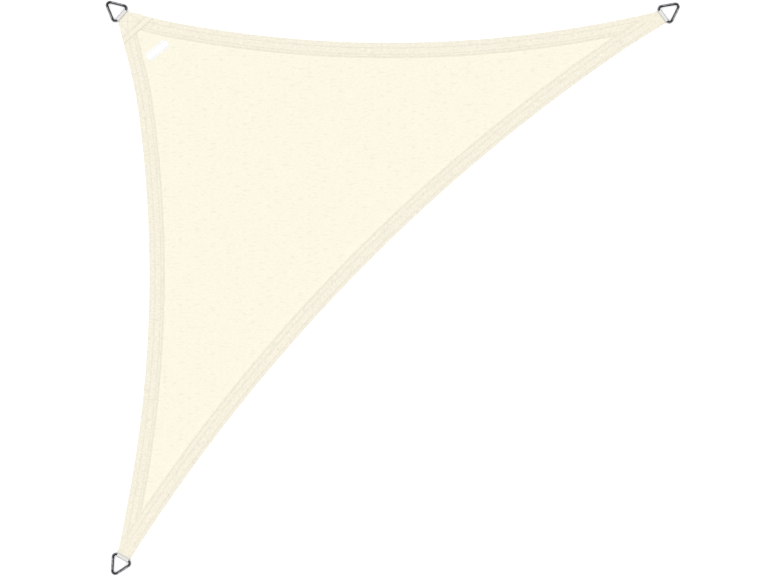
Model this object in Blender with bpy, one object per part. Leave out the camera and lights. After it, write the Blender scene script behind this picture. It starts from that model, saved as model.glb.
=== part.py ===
"""A triangular shade sail, two metres from ring to ring along each short side, lying face up on a surface.

The cloth is one solid: a thin panel inside a folded hem. Each corner ends in a thick pocket. A webbing loop
holds a triangular steel ring there, with its tails inside the pocket. X runs to the right along the top edge,
Y up along the left edge, and the origin is the middle of the footprint, on the surface.
"""

import math

import bpy
import bmesh
from mathutils import Matrix, Vector

# Corners, in metres. "tip" is where the two edges would meet if they ran on, "bar" is the middle of the
# ring's base bar, and "axis" is the way that the ring points, in degrees from +X.
CORNERS = {
    "square": {"tip": (-0.9533, 0.9690), "bar": (-0.9486, 0.9541), "axis": 138.9},
    "lower": {"tip": (-1.0079, -1.0931), "bar": (-0.9437, -0.9430), "axis": 239.9},
    "right": {"tip": (1.0743, 1.0053), "bar": (0.9462, 0.9513), "axis": 37.0},
}

# Edges, anticlockwise. "sag" is how far the hollow edge comes in from the line between its tips, and "hem"
# is how wide its hem is. Near each end the cloth eases from that arc to the corner of the cloth's end, over
# the two "reach" lengths.
EDGES = {
    "left": {"ends": ("square", "lower"), "sag": 0.1277, "reach": (0.300, 0.160), "hem": 0.053},
    "slope": {"ends": ("lower", "right"), "sag": 0.1806, "reach": (0.100, 0.190), "hem": 0.056},
    "top": {"ends": ("right", "square"), "sag": 0.1288, "reach": (0.100, 0.140), "hem": 0.053},
}
EDGE_STEPS = 60

# Cloth
PANEL_THICK = 0.0012
HEM_THICK = 0.0030
LAPPED_HEM_THICK = 0.0042
FOLD_PROFILE = ((0.0009, 0.0), (0.00025, 0.0003), (0.0, 0.0015), (0.00025, 0.0027), (0.0009, HEM_THICK))
END_SETBACK = 0.0072
END_WIDTH = 0.049
CORNER_INSET = 0.0012
LAP_INSET = 0.0015

# Corner pocket
POCKET_WIDTH = 0.0456
POCKET_DEPTH = 0.049
POCKET_FLOOR = 0.0010
POCKET_ROOF = 0.0046
SIDE_WALL = 0.0020
CORNER_THICK = 0.0056
RAMP_LENGTH = 0.012

# Webbing loop
WEBBING_WIDTH = 0.045
WEBBING_THICK = 0.0015
TAIL_LENGTH = 0.048
CLEARANCE = 0.0003

# Ring: a rounded triangle of bent wire, sized by the sharp triangle of its centre line
WIRE_RADIUS = 0.0045
RING_BASE = 0.078
RING_HEIGHT = 0.077
BEND_RADIUS = 0.0105
BEND_STEPS = 10

# Patch over the square corner
PATCH_THICK = 0.0012
PATCH_LENGTH = 0.0725
PATCH_AXIS = 131.0
PATCH_INSET = CORNER_INSET

# Tag
TAG_SIZE = (0.090, 0.032)
TAG_THICK = 0.0010
TAG_MIDDLE = (-0.8239, 0.8320)
TAG_TURN = 38.0
TAG_CORNER = 0.0015

WRAP_RADIUS = WIRE_RADIUS + CLEARANCE + WEBBING_THICK  # outside of the webbing round the bar
APEX_INSET = BEND_RADIUS / math.sin(math.atan(RING_BASE / 2 / RING_HEIGHT)) - BEND_RADIUS
RING_REACH = RING_HEIGHT - APEX_INSET  # from the bar to the middle of the wire at the ring's tip
RING_TILT = math.asin((WRAP_RADIUS - WIRE_RADIUS) / RING_REACH)  # the tip rests on the surface
ROUND_SIDES = 32  # of the webbing's bore, and nearly those of its wrap

# Cutters reach past what they cut: to the sides, below and above
FAR = 0.2
BELOW, ABOVE = -0.01, 0.02
BITE = 0.001  # how deep a raised block starts inside the cloth that it joins


def clear_scene():
    for thing in list(bpy.data.objects):
        bpy.data.objects.remove(thing, do_unlink=True)


def make_material(name, colour, roughness, metallic=0.0):
    material = bpy.data.materials.new(name)
    material.use_nodes = True
    shader = material.node_tree.nodes["Principled BSDF"]
    shader.inputs["Base Color"].default_value = (*colour, 1.0)
    shader.inputs["Roughness"].default_value = roughness
    shader.inputs["Metallic"].default_value = metallic
    return material


def add_object(name, form, material=None):
    """Turns a bmesh into an object of the scene."""
    mesh = bpy.data.meshes.new(name)
    bmesh.ops.recalc_face_normals(form, faces=form.faces)
    form.to_mesh(mesh)
    form.free()
    thing = bpy.data.objects.new(name, mesh)
    bpy.context.scene.collection.objects.link(thing)
    if material:
        mesh.materials.append(material)
    return thing


def prism(name, points, low, high):
    """An upright block whose plan is the given outline."""
    form = bmesh.new()
    face = form.faces.new([form.verts.new((x, y, low)) for x, y in points])
    raised = bmesh.ops.extrude_face_region(form, geom=[face])["geom"]
    for vert in (v for v in raised if isinstance(v, bmesh.types.BMVert)):
        vert.co.z = high
    return add_object(name, form)


def slice_along_bar(name, section, width):
    """A block with the given (x, z) section, as wide as the width across it."""
    form = bmesh.new()
    face = form.faces.new([form.verts.new((x, -width / 2, z)) for x, z in section])
    moved = bmesh.ops.extrude_face_region(form, geom=[face])["geom"]
    for vert in (v for v in moved if isinstance(v, bmesh.types.BMVert)):
        vert.co.y = width / 2
    return add_object(name, form)


def combine(base, other, operation):
    """Joins, cuts or keeps what is common, then drops the other object."""
    tool = base.modifiers.new(operation.lower(), "BOOLEAN")
    tool.object = other
    tool.operation = operation
    tool.solver = "EXACT"
    bpy.context.view_layer.update()
    graph = bpy.context.evaluated_depsgraph_get()
    mesh = bpy.data.meshes.new_from_object(base.evaluated_get(graph))
    base.modifiers.clear()
    base.data = mesh
    bpy.data.objects.remove(other, do_unlink=True)


def place(thing, matrix):
    """Moves the mesh itself, so that the object's own place stays at the origin."""
    thing.data.transform(matrix)


def corner_frame(corner, height=0.0):
    """The place of a corner's bar, with its X along the ring's axis."""
    x, y = CORNERS[corner]["bar"]
    turn = Matrix.Rotation(math.radians(CORNERS[corner]["axis"]), 4, "Z")
    return Matrix.Translation((x, y, height)) @ turn


def end_corner(corner, side):
    """A corner of the cloth's end: side is -1 or 1 along the bar."""
    point = corner_frame(corner) @ Vector((-END_SETBACK, side * END_WIDTH / 2, 0))
    return point.xy


def edge_circle(edge):
    """Centre and radius of the arc that an edge follows."""
    first, last = (Vector(CORNERS[name]["tip"]) for name in EDGES[edge]["ends"])
    chord = last - first
    sag = EDGES[edge]["sag"]
    radius = (chord.length**2 / 4 + sag**2) / (2 * sag)
    outward = Vector((chord.y, -chord.x)).normalized()
    return (first + last) / 2 + outward * (radius - sag), radius


def ease(share):
    share = min(max(share, 0.0), 1.0)
    return share * share * (3 - 2 * share)


def edge_line(edge, inset=0.0):
    """Points along an edge of the cloth, from one end of the cloth to the next, as far in as the inset."""
    centre, radius = edge_circle(edge)
    first, last = EDGES[edge]["ends"]
    arms = (end_corner(first, 1) - centre, end_corner(last, -1) - centre)
    angles = [math.atan2(arm.y, arm.x) for arm in arms]
    sweep = (angles[1] - angles[0] + math.pi) % (2 * math.pi) - math.pi
    flares = [radius - arm.length for arm in arms]
    length = radius * abs(sweep)
    points = []
    for step in range(EDGE_STEPS + 1):
        share = step / EDGE_STEPS
        flare = flares[0] * ease(1 - share * length / EDGES[edge]["reach"][0])
        flare += flares[1] * ease(1 - (1 - share) * length / EDGES[edge]["reach"][1])
        angle = angles[0] + sweep * share
        points.append(centre + (radius - flare + inset) * Vector((math.cos(angle), math.sin(angle))))
    return points


def crossing(first, second):
    """Where the end of one line of points crosses the start of the next."""
    for i in reversed(range(len(first) - 1)):
        for j in range(len(second) - 1):
            a, b, c, d = first[i], first[i + 1], second[j], second[j + 1]
            run, other = b - a, d - c
            whole = run.x * other.y - run.y * other.x
            if abs(whole) < 1e-12:
                continue
            along = ((c - a).x * other.y - (c - a).y * other.x) / whole
            across = ((c - a).x * run.y - (c - a).y * run.x) / whole
            if 0 <= along <= 1 and 0 <= across <= 1:
                return i, j, a + run * along
    raise ValueError("these lines don't cross")


def outline(inset=0.0):
    """The cloth's outline, anticlockwise, with its three cut ends."""
    points = [point for edge in EDGES for point in edge_line(edge)]
    if not inset:
        return points
    moved = []
    for i, point in enumerate(points):
        before = (point - points[i - 1]).normalized()
        after = (points[(i + 1) % len(points)] - point).normalized()
        sides = [Vector((-d.y, d.x)) for d in (before, after)]
        middle = (sides[0] + sides[1]).normalized()
        moved.append(point + middle * (inset / middle.dot(sides[0])))
    return moved


def panel_outline():
    """The outline inside the hems, with a sharp corner where two of them meet."""
    lines = [edge_line(edge, EDGES[edge]["hem"]) for edge in EDGES]
    cuts = [crossing(lines[k], lines[(k + 1) % 3]) for k in range(3)]
    points = []
    for k, line in enumerate(lines):
        start = cuts[k - 1][1] + 1
        points += [cuts[k - 1][2]] + line[start : cuts[k][0] + 1]
    return points


def hem_slab():
    """The whole cloth at the hem's thickness, with its edge rounded as a fold is."""
    form = bmesh.new()
    rings = [
        [form.verts.new((p.x, p.y, height)) for p in outline(inset)] for inset, height in FOLD_PROFILE
    ]
    form.faces.new(rings[0])
    form.faces.new(rings[-1])
    for lower, upper in zip(rings, rings[1:]):
        for i in range(len(lower)):
            form.faces.new((lower[i - 1], lower[i], upper[i], upper[i - 1]))
    return add_object("sail_cloth", form)


def hem_band(edge):
    """The strip that one hem covers above the slab, a little inside its own edges."""
    outer = edge_line(edge, LAP_INSET)
    inner = edge_line(edge, EDGES[edge]["hem"] - LAP_INSET)
    return prism("band", outer + inner[::-1], HEM_THICK - BITE, LAPPED_HEM_THICK)


def corner_block(corner):
    """The thick end of the cloth round the pocket, sloping down to the hem."""
    start = -END_SETBACK - CORNER_INSET
    flat = -END_SETBACK - POCKET_DEPTH - CLEARANCE
    foot = flat - RAMP_LENGTH
    low = HEM_THICK - BITE
    section = ((start, low), (start, CORNER_THICK), (flat, CORNER_THICK), (foot, HEM_THICK), (foot, low))
    block = slice_along_bar("corner", section, FAR)
    place(block, corner_frame(corner))
    combine(block, prism("trim", outline(CORNER_INSET), BELOW, ABOVE), "INTERSECT")
    return block


def reach_aside(corner, side):
    """How far the cloth reaches to one side of a corner's middle line, level with the back of the pocket."""
    edge = next(name for name in EDGES if EDGES[name]["ends"][side < 0] == corner)
    line = edge_line(edge)[:: 1 if side > 0 else -1]
    into = corner_frame(corner).inverted()
    points = [into @ point.to_3d() for point in line]
    back = -END_SETBACK - POCKET_DEPTH
    near, far = next(pair for pair in zip(points, points[1:]) if pair[1].x < back)
    share = (back - near.x) / (far.x - near.x)
    return abs(near.y + share * (far.y - near.y))


def tail_plan(corner, width, gap=0.0):
    """The plan of a pocket, or of the tails inside it, narrower at its back where the cloth is narrow."""
    front, mouth, back = 2 * WRAP_RADIUS, -END_SETBACK, -END_SETBACK - POCKET_DEPTH
    half = width / 2
    left, right = (min(half, reach_aside(corner, side) - SIDE_WALL - gap) for side in (1, -1))
    plan = ((front, -half), (front, half), (mouth, half), (back, left), (back, -right), (mouth, -half))
    return [(corner_frame(corner) @ Vector((x, y, 0))).xy for x, y in plan]


def pocket(corner):
    return prism("pocket", tail_plan(corner, POCKET_WIDTH), POCKET_FLOOR, POCKET_ROOF)


def make_cloth(material):
    cloth = hem_slab()
    combine(cloth, prism("recess", panel_outline(), PANEL_THICK, ABOVE), "DIFFERENCE")
    for first, last in (("left", "slope"), ("slope", "top")):
        lap = hem_band(first)
        combine(lap, hem_band(last), "INTERSECT")
        combine(cloth, lap, "UNION")
    for corner in CORNERS:
        combine(cloth, corner_block(corner), "UNION")
        combine(cloth, pocket(corner), "DIFFERENCE")
    cloth.data.materials.clear()
    cloth.data.materials.append(material)
    cloth.data.shade_flat()
    return cloth


def make_patch(material):
    """A sheet that lies over the square corner's thick end and runs down its slope to the hem."""
    start = -END_SETBACK - PATCH_INSET
    flat = -END_SETBACK - POCKET_DEPTH - CLEARANCE
    foot = flat - RAMP_LENGTH
    under = ((start, CORNER_THICK), (flat, CORNER_THICK), (foot, HEM_THICK), (-FAR, HEM_THICK))
    over = [(x, z + CLEARANCE + PATCH_THICK) for x, z in under]
    section = [(x, z + CLEARANCE) for x, z in under] + over[::-1]
    patch = slice_along_bar("corner_patch", section, 2 * FAR)
    place(patch, corner_frame("square"))
    combine(patch, prism("trim", outline(PATCH_INSET), BELOW, ABOVE), "INTERSECT")
    end = -END_SETBACK - PATCH_LENGTH
    cover = ((FAR, BELOW), (FAR, ABOVE), (end, ABOVE), (end, BELOW))
    keep = slice_along_bar("keep", cover, 2 * FAR)
    x, y = CORNERS["square"]["bar"]
    place(keep, Matrix.Translation((x, y, 0)) @ Matrix.Rotation(math.radians(PATCH_AXIS), 4, "Z"))
    combine(patch, keep, "INTERSECT")
    patch.data.materials.clear()
    patch.data.materials.append(material)
    return patch


def loop_section():
    """The wrap round the bar and the two tails laid together, seen along the bar."""
    middle = WRAP_RADIUS
    tail_low = POCKET_FLOOR + CLEARANCE
    tail_high = POCKET_ROOF - CLEARANCE
    neck = -END_SETBACK + CLEARANCE
    tail_end = -END_SETBACK - TAIL_LENGTH
    # The wrap runs clockwise from the left, over the top and down to the bottom.
    steps = 3 * ROUND_SIDES // 4
    arc = [math.pi - 1.5 * math.pi * k / steps for k in range(steps + 1)]
    wrap = [(WRAP_RADIUS * math.cos(a), middle + WRAP_RADIUS * math.sin(a)) for a in arc]
    return wrap + [(neck, tail_low), (tail_end, tail_low), (tail_end, tail_high), (neck, tail_high)]


def make_loop(corner, material):
    loop = slice_along_bar(f"loop_{corner}", loop_section(), WEBBING_WIDTH)
    form = bmesh.new()
    turn = Matrix.Translation((0, 0, WRAP_RADIUS)) @ Matrix.Rotation(math.pi / 2, 4, "X")
    size = {"radius1": WIRE_RADIUS + CLEARANCE, "radius2": WIRE_RADIUS + CLEARANCE, "depth": 2 * WEBBING_WIDTH}
    bmesh.ops.create_cone(form, cap_ends=True, segments=ROUND_SIDES, matrix=turn, **size)
    combine(loop, add_object("bore", form), "DIFFERENCE")
    place(loop, corner_frame(corner))
    combine(loop, prism("trim", tail_plan(corner, WEBBING_WIDTH, CLEARANCE), BELOW, ABOVE), "INTERSECT")
    loop.data.materials.clear()
    loop.data.materials.append(material)
    return loop


def ring_path():
    """The ring's centre line: a triangle with rounded corners, its base bar on the Y axis."""
    sharp = [Vector((0, -RING_BASE / 2)), Vector((RING_HEIGHT, 0)), Vector((0, RING_BASE / 2))]
    points = []
    for i, tip in enumerate(sharp):
        back = (sharp[i - 1] - tip).normalized()
        on = (sharp[(i + 1) % 3] - tip).normalized()
        half = back.angle(on) / 2
        middle = tip + (back + on).normalized() * (BEND_RADIUS / math.sin(half))
        start = (tip + back * (BEND_RADIUS / math.tan(half)) - middle).to_3d()
        sweep = math.pi - 2 * half
        for step in range(BEND_STEPS + 1):
            turned = Matrix.Rotation(sweep * step / BEND_STEPS, 3, "Z") @ start
            points.append(middle + turned.xy)
    return points


def make_ring(corner, material):
    """A bent and welded wire ring, its tip resting on the surface."""
    line = bpy.data.curves.new(f"ring_{corner}", "CURVE")
    line.dimensions = "3D"
    line.bevel_depth = WIRE_RADIUS
    line.bevel_resolution = 6
    path = line.splines.new("POLY")
    points = ring_path()
    path.points.add(len(points) - 1)
    for slot, point in zip(path.points, points):
        slot.co = (point.x, point.y, 0, 1)
    path.use_cyclic_u = True
    line.materials.append(material)
    ring = bpy.data.objects.new(f"ring_{corner}", line)
    bpy.context.scene.collection.objects.link(ring)
    ring.matrix_world = corner_frame(corner, WRAP_RADIUS) @ Matrix.Rotation(RING_TILT, 4, "Y")
    return ring


def make_tag(material):
    form = bmesh.new()
    bmesh.ops.create_cube(form, size=1, matrix=Matrix.Diagonal((*TAG_SIZE, TAG_THICK, 1)))
    upright = [e for e in form.edges if abs(e.verts[0].co.z - e.verts[1].co.z) > TAG_THICK / 2]
    bmesh.ops.bevel(form, geom=upright, offset=TAG_CORNER, segments=3, affect="EDGES")
    tag = add_object("label_tag", form, material)
    tag.location = (*TAG_MIDDLE, PANEL_THICK + CLEARANCE + TAG_THICK / 2)
    tag.rotation_euler.z = math.radians(TAG_TURN)
    return tag


def main():
    clear_scene()
    cloth = make_material("knitted_cloth", (0.93, 0.90, 0.80), 0.85)
    webbing = make_material("woven_webbing", (0.86, 0.86, 0.84), 0.75)
    steel = make_material("bent_steel_wire", (0.50, 0.50, 0.50), 0.25, 1.0)
    ribbon = make_material("woven_tag", (0.95, 0.95, 0.95), 0.60)
    make_cloth(cloth)
    make_patch(cloth)
    for corner in CORNERS:
        make_loop(corner, webbing)
        make_ring(corner, steel)
    make_tag(ribbon)


main()
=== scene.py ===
# A triangular shade sail laid face up on a white studio floor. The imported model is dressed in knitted
# cloth, sewing thread, webbing, bent steel wire and a woven tag. Lengths are in metres.
import math
from functools import partial

import bmesh
import bpy
import numpy as np
from mathutils import Matrix, Vector
from mathutils.geometry import delaunay_2d_cdt


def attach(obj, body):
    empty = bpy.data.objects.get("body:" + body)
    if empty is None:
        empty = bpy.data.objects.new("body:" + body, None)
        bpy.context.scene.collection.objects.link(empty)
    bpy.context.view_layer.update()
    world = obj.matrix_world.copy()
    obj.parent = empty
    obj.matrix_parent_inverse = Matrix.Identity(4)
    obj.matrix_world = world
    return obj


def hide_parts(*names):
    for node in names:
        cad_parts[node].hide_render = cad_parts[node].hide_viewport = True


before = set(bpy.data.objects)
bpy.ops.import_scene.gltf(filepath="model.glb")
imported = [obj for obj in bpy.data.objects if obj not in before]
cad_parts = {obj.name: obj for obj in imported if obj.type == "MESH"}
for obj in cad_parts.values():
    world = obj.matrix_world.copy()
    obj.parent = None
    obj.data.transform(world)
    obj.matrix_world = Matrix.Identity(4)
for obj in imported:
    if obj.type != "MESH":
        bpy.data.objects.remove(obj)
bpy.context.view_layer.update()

print("frame loaded")


def hexColour(code):
    levels = [int(code[k:k + 2], 16) / 255 for k in (1, 3, 5)]
    linear = [v / 12.92 if v <= 0.04045 else ((v + 0.055) / 1.055) ** 2.4 for v in levels]
    return (*linear, 1.0)


def setNode(tree, node, values):  # a value that is another node's output is linked, any other is set
    for name, value in values.items():
        if isinstance(value, bpy.types.NodeSocket):
            tree.links.new(value, node.inputs[name])
        elif isinstance(name, int) or name in node.inputs:
            isHex = isinstance(value, str) and value.startswith("#")
            node.inputs[name].default_value = hexColour(value) if isHex else value
        else:
            setattr(node, name, value)


def addNode(tree, kind, values, output=0):
    node = tree.nodes.new("ShaderNode" + kind)
    setNode(tree, node, values)
    return node.outputs if output is None else node.outputs[output]


def newMaterial(name, values):  # with it come the functions that add a node to it and set its shader
    material = bpy.data.materials.new(name)
    material.use_nodes = True
    tree = material.node_tree
    finish = partial(setNode, tree, tree.nodes["Principled BSDF"])
    finish(values)
    return material, partial(addNode, tree), finish


def newObject(name, data):
    thing = bpy.data.objects.new(name, data)
    bpy.context.scene.collection.objects.link(thing)
    return thing


def setMark(mesh, name, values, domain="POINT"):
    values = np.asarray(values, np.float32)
    kind, key = ("FLOAT_VECTOR", "vector") if values.shape[-1] == 3 else ("FLOAT", "value")
    mesh.attributes.new(name, kind, domain).data.foreach_set(key, values.ravel())


def newPiece(name, points, faces, material, slot, marks=None):  # marks: what the material reads, by name
    mesh = bpy.data.meshes.new(name)
    mesh.from_pydata(np.asarray(points).tolist(), [], faces)
    form = bmesh.new()
    form.from_mesh(mesh)
    bmesh.ops.recalc_face_normals(form, faces=form.faces)
    form.to_mesh(mesh)
    form.free()
    mesh.materials.append(material)
    mesh.shade_smooth()
    for title, values in (marks or {}).items():
        setMark(mesh, title, values)
    piece = newObject(name, mesh)
    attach(piece, "root")
    return piece


def unit(ways):
    return ways / np.hypot(ways[..., 0], ways[..., 1])[..., None]


def leftOf(ways):
    return np.stack((-ways[..., 1], ways[..., 0]), axis=-1)


def compass(degrees):  # the way that an angle points, and the way to its left
    turn = math.radians(degrees)
    ahead = np.array((math.cos(turn), math.sin(turn)))
    return ahead, leftOf(ahead)


def placeAt(middle, degrees, x, y):  # the places this far ahead of a middle, and this far to its left
    ahead, left = compass(degrees)
    return np.array(middle) + np.multiply.outer(x, ahead) + np.multiply.outer(y, left)


def seenFrom(middle, degrees, points):  # how far ahead of a middle, and how far to its left
    ahead, left = compass(degrees)
    aside = np.atleast_2d(points) - middle
    return aside @ ahead, aside @ left


def runAlong(line):
    return np.append(0, np.cumsum(np.hypot(*np.diff(line, axis=0).T)))


def alongLine(line, run):  # the places that lie this far along a line
    return np.column_stack([np.interp(run, runAlong(line), line[:, k]) for k in (0, 1)])


def ease(share):
    share = np.clip(share, 0, 1)
    return share * share * (3 - 2 * share)


def dome(share):  # rises like a quarter circle from 0 at 0 to 1 at 1
    return np.sqrt(1 - (1 - np.clip(share, 0, 1)) ** 2)


def gauss(offset, width):
    return np.exp(-((offset / width) ** 2))


def ripple(along, wavelength, phase):  # an uneven wave between about -1 and 1
    turn = 2 * math.pi * along / wavelength + phase
    return (np.sin(turn) + 0.6 * np.sin(1.63 * turn + 2.1 * phase) + 0.5 * np.sin(0.71 * turn + 4)) / 2.1


def tube(rows, sides, closed=False):  # the faces between neighbouring rings of points
    faces = []
    for row in range(rows if closed else rows - 1):
        here, there = row * sides, (row + 1) % rows * sides
        around = [(k, (k + 1) % sides) for k in range(sides)]
        faces += [(here + a, here + b, there + b, there + a) for a, b in around]
    return faces


def skin(rings):  # rings: (rows, sides, 3); both ends are shut across the flat of the ring
    rows, sides = rings.shape[:2]
    faces, last = tube(rows, sides), (rows - 1) * sides
    for k in range(sides // 2 - 1):
        cap = (k, sides - 1 - k, sides - 2 - k, k + 1)
        faces += [cap, tuple(last + i for i in reversed(cap))]
    return rings.reshape(-1, 3), faces


def wrapped(upper, lower):  # closed rings from a strip's upper and lower side
    return np.concatenate((upper, lower[:, ::-1]), axis=1)


corners = {  # tip: where the edges would meet; bar: middle of the ring's base bar; axis: degrees from +X
    "square": {"tip": (-0.9533, 0.9690), "bar": (-0.9486, 0.9541), "axis": 138.9},
    "lower": {"tip": (-1.0079, -1.0931), "bar": (-0.9437, -0.9430), "axis": 239.9},
    "right": {"tip": (1.0743, 1.0053), "bar": (0.9462, 0.9513), "axis": 37.0},
}
sail = {
    "edges": {  # anticlockwise; rows: how far in each row of stitches runs
        "left": {"ends": ("square", "lower"), "sag": 0.1277, "reach": (0.300, 0.160), "hem": 0.053,
                 "rows": (0.0200, 0.0410, 0.0495)},
        "slope": {"ends": ("lower", "right"), "sag": 0.1806, "reach": (0.100, 0.190), "hem": 0.056,
                  "rows": (0.0110, 0.0360, 0.0525)},
        "top": {"ends": ("right", "square"), "sag": 0.1288, "reach": (0.100, 0.140), "hem": 0.053,
                "rows": (0.0180, 0.0410, 0.0495)},
    },
    "panelThick": 0.0012,
    "hemThick": 0.0030,
    "lapThick": 0.0042,  # where the long edge's hem lies over another
    "cornerThick": 0.0056,
    "hemStep": 0.0010,  # how wide the hem's inner edge is on its way down
    "buriedStep": 0.0090,  # the same under another hem, where it only shows through
    "foldShare": 0.30,  # the outer fold's roundness, as a share of the thickness
    "foldFade": 0.004,  # the relief starts over this length inside it
    "setback": 0.0072,  # from the ring's bar to the cloth's end
    "endWidth": 0.049,
    "pocketWidth": 0.0456,
    "pocketDepth": 0.049,
    "pocketFloor": 0.0010,
    "pocketRoof": 0.0046,
    "sideWall": 0.0020,
    "lipRadius": 0.0005,
    "rampLength": 0.012,
    "clearance": 0.0003,
    "rowFade": 0.003,  # a row of stitches starts and ends over this length
    "rowStop": 0.004,  # it stops this far behind the pocket
    "rowHidden": 0.009,  # and this far inside another edge
    "hemFade": 0.002,  # the relief of a hem starts over this length
    "troughDepth": 0.00045,  # how far the thread pulls the hem down
    "troughWidth": 0.0013,
    "shadeWidth": 0.0013,  # the width of the painted shade, a darker line, that shows at a row
    "tug": (0.25, 0.041),  # how unevenly the thread pulls: a share, and over what length
    "pillowHeight": 0.00022,  # the hem's swelling between two rows
    "pillowFrom": 0.001,  # and between the outer row and this far in from the edge
    "pucker": (0.00016, 0.007, 0.019),  # height, width and length
    "gather": (0.00022, 0.022, 0.037),  # the same of the gathers in the panel, beside the hem
    "gatherFade": (0.006, 0.01),  # they start over these lengths, from their own hem and from any other
    "underTrough": 0.0008,
    "panelLift": 0.0007,  # the most that the loose panel stands off the floor
    "tightRun": 0.004,  # beside its seams it lies flat
    "looseRun": 0.09,  # how much further away it lies quite loose
    "liftSizes": (0.31, 0.43),  # of the slow waves in it
    "foldShade": (0.12, 0.0035),  # painted shade, a darker band inside the outer fold: how deep it looks, and its width
    "columnStep": 0.005,  # spacing of the mesh along the edges
}
meshing = {  # how closely the points of the cloth's two sides are set
    "top": {"folds": 5, "rowStep": 1, "block": 0.0025, "panel": 0.0125, "panelFrom": 0.019},
    "bottom": {"folds": 3, "rowStep": 2, "block": 0.005, "panel": 0.018, "panelFrom": 0.006},
}
edges = sail["edges"]
foldInsets = (0.00012, 0.0004, 0.0009, 0.0018, 0.0030)  # of the rows that round the outer fold
lipInsets = (0.00015, 0.0004, 0.0009, 0.0018)  # of those that round the lip of a cut end
stepInsets = (-0.0007, -0.0002, 0.0002, 0.0007, 0.0025, 0.006, 0.012)  # of those at a hem's inner edge
foldClear, blockClear, endClear = 0.0045, 0.0042, 0.0022  # how far other points keep from the outline
leastRowGap = 0.00045
leastGap = 0.00012  # between any two points

patch = {
    "thick": 0.0012,
    "length": 0.0725,  # from the cloth's end to the patch's edge
    "axis": 131.0,
    "inset": 0.0012,
    "rowBack": 0.0535,  # the inner row of stitches, from the cloth's end
    "edgeRow": 0.0019,
    "sideRow": 0.0050,
    "frontHalf": 0.0195,
    "backHalf": 0.0300,
    "step": 0.0016,
    "rimRadius": 0.0007,
    "rimThick": 0.25,  # as a share of its thickness
    "rimFade": 0.0015,  # its relief starts over this length
    "deepest": 1.3,  # where its rows cross, in a single row's depth
    "bridge": 0.0030,  # how far it reaches out over the hem's inner step before it drops
    "gap": 0.00015,
    "hemLayer": 0.65,  # its cloth looks a little less dense than the hems
    "turnedIn": 0.010,  # of its inner edge
    "lineShades": (0.2, 0.9, 0.9, 0.9, 0.9, 1.5, 0.2),  # how deep the painted shade along each of its lines looks
    # how deep the painted shadow just outside its edge looks
    "edgeShade": 1.5,
    "edgeShadow": 0.0009,  # how far outside its edge the edge's dark line lies
    "shadeWidth": 0.0015,
}

# places along a corner's middle line, counted outwards from the ring's bar
endBack = -sail["setback"]  # where the cloth ends
pocketBack = endBack - sail["pocketDepth"]
blockFoot = pocketBack - sail["clearance"] - sail["rampLength"]  # where the thick corner starts
gridReach = ((-0.0860, -0.0105), (-0.12, 0.12))  # of the corner's own mesh: along that line, and across it


def intoCorner(corner, points):
    return seenFrom(corners[corner]["bar"], corners[corner]["axis"], points)


def outOfCorner(corner, x, y):
    return placeAt(corners[corner]["bar"], corners[corner]["axis"], x, y)


def edgeArc(name):
    edge = edges[name]
    first, last = (np.array(corners[end]["tip"]) for end in edge["ends"])
    chord = last - first
    long = np.hypot(*chord)
    radius = (long**2 / 4 + edge["sag"] ** 2) / (2 * edge["sag"])
    centre = (first + last) / 2 - leftOf(chord) / long * (radius - edge["sag"])
    arms = [outOfCorner(end, endBack, side * sail["endWidth"] / 2) - centre
            for end, side in zip(edge["ends"], (1, -1))]
    start, end = (math.atan2(arm[1], arm[0]) for arm in arms)
    sweep = (end - start + math.pi) % (2 * math.pi) - math.pi
    return {"centre": centre, "radius": radius, "start": start, "sweep": sweep,
            "flares": [radius - np.hypot(*arm) for arm in arms], "length": radius * abs(sweep)}


arcs = {name: edgeArc(name) for name in edges}


def edgeFlare(name, share):  # how much the cloth leaves the arc near its two ends
    arc, reach = arcs[name], edges[name]["reach"]
    near, far = (arc["flares"][k] * ease(1 - way * arc["length"] / reach[k])
                 for k, way in enumerate((share, 1 - share)))
    return near + far


def onEdge(name, share, inset):
    arc = arcs[name]
    share = np.atleast_1d(share)
    angle = arc["start"] + arc["sweep"] * share
    reach = arc["radius"] - edgeFlare(name, share) + inset
    return arc["centre"] + np.stack((reach * np.cos(angle), reach * np.sin(angle)), axis=1)


def fromEdge(name, points):  # share of the way along the edge, and distance in from it
    arc = arcs[name]
    arm = points - arc["centre"]
    turn = np.arctan2(arm[:, 1], arm[:, 0]) - arc["start"]
    share = ((turn + math.pi) % (2 * math.pi) - math.pi) / arc["sweep"]
    return share, np.hypot(arm[:, 0], arm[:, 1]) - arc["radius"] + edgeFlare(name, share)


def survey(points):  # everything that the heights and the mesh need to know about these places
    found = {"points": points, "ahead": {corner: intoCorner(corner, points)[0] for corner in corners}}
    for name, arc in arcs.items():
        share, inset = fromEdge(name, points)
        past = inset - edges[name]["hem"]
        found[name] = {"along": share * arc["length"], "inset": inset, "past": past}
    found["nearest"] = np.min([found[name]["inset"] for name in arcs], axis=0)
    found["past"] = np.min([found[name]["past"] for name in arcs], axis=0)
    ahead = seenFrom(corners["square"]["bar"], patch["axis"], points)[0]
    found["patch"] = ahead + sail["setback"] + patch["length"]
    found["bare"] = ease(-found["patch"] / sail["rowFade"])  # 0 under the patch
    return found


def rowShown(name, k, found):  # 1 where a row of stitches runs, 0 past its ends and under another hem
    fade, shown = sail["rowFade"], found["bare"]
    for corner in edges[name]["ends"]:
        stop = blockFoot if k == 2 else pocketBack - sail["rowStop"]
        shown = shown * ease((stop - found["ahead"][corner]) / fade)
    for other in arcs:
        if other != name:
            shown = shown * ease((found[other]["inset"] - sail["rowHidden"]) / fade)
    if name != "slope" and k > 0:  # the long edge's hem covers the inner rows of the others
        shown = shown * ease((found["slope"]["past"] - 0.001) / sail["hemFade"])
    return shown


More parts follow.
